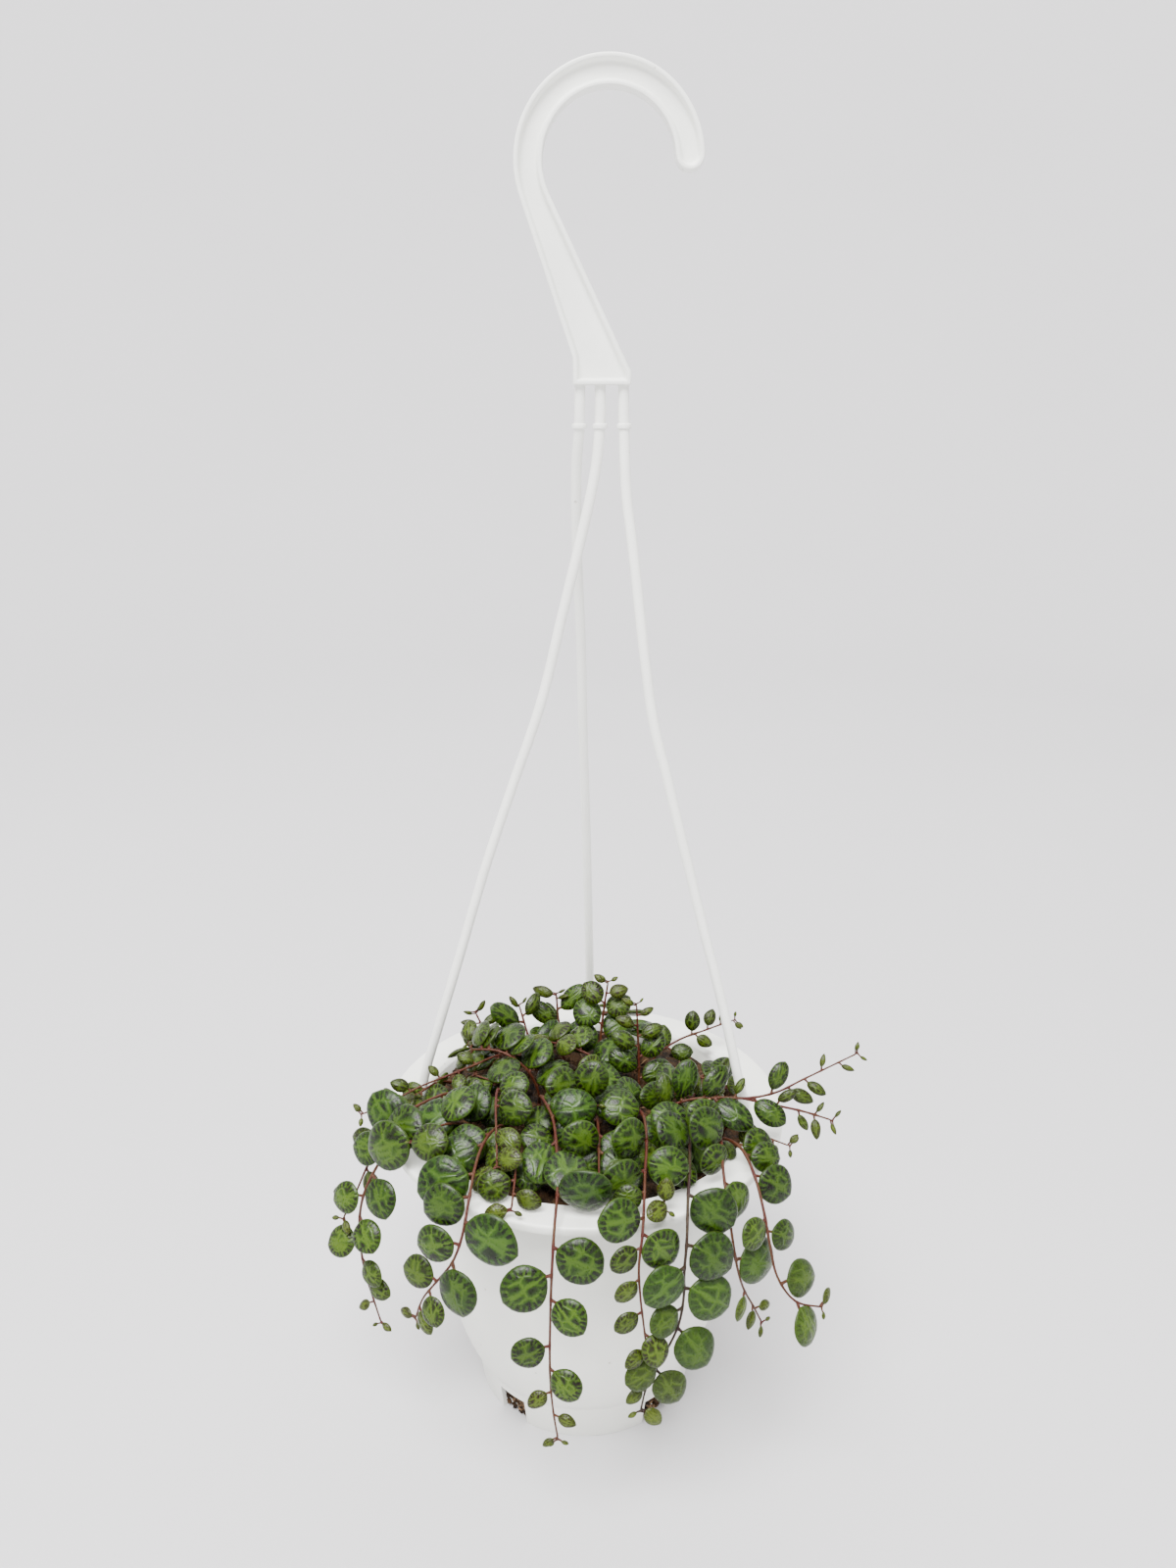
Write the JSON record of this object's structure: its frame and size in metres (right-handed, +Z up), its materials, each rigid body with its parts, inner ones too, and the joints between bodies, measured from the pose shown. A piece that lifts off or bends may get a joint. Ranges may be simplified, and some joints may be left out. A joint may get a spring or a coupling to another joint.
{
  "type": "potted string of turtles",
  "caption": "Trailing houseplant with round patterned leaves in a round hanging pot, with a hook-topped hanger clipped in the rim and stems that spill over it.",
  "frame": {"origin": "middle of the pot's base, on the surface that it stands on", "axes": "+Z up through the pot and hanger to the hook, -Y to the front where the longest stems hang, +X to the right of the front view, where the hook is open"},
  "size_m": [0.1557, 0.1307, 0.377],
  "materials": {
    "pot_plastic": "white moulded polypropylene with a soft sheen",
    "hanger_plastic": "white moulded polypropylene with a soft sheen",
    "soil": "dark brown potting mix of bark, coir and peat",
    "leaves": "smooth fleshy green leaves with dark blotches between paler veins, on reddish stems",
    "young_leaves": "smooth fleshy yellow-green young leaves with brown blotches, on reddish stems"
  },
  "bodies": {
    "root": {"pot": "pot_plastic", "soil": "soil", "hanger": "hanger_plastic", "vine_front_middle": "leaves", "vine_front_left": "leaves", "vine_left_long": "leaves", "vine_left_short": "leaves", "crown_left": "leaves", "vine_right_dark": "leaves", "vine_right_middle": "leaves", "vine_right_front": "leaves", "vine_right_out": "leaves", "vine_out_right": "leaves", "vine_out_left": "leaves", "vine_over_left": "leaves", "vine_rim_right": "leaves", "vine_back_right": "leaves", "shoot_right": "young_leaves", "shoot_middle": "young_leaves", "shoot_back_left": "young_leaves", "shoot_back": "young_leaves", "shoot_left": "young_leaves", "crown_front": "leaves", "crown_front_left": "leaves", "crown_front_right": "leaves", "crown_inner_left": "leaves", "crown_middle": "leaves", "crown_middle_left": "leaves", "crown_middle_back": "leaves", "crown_middle_right": "leaves", "crown_right": "leaves", "crown_back_right": "leaves", "crown_far_left": "leaves", "crown_back_left": "leaves"}
  },
  "joints": []
}
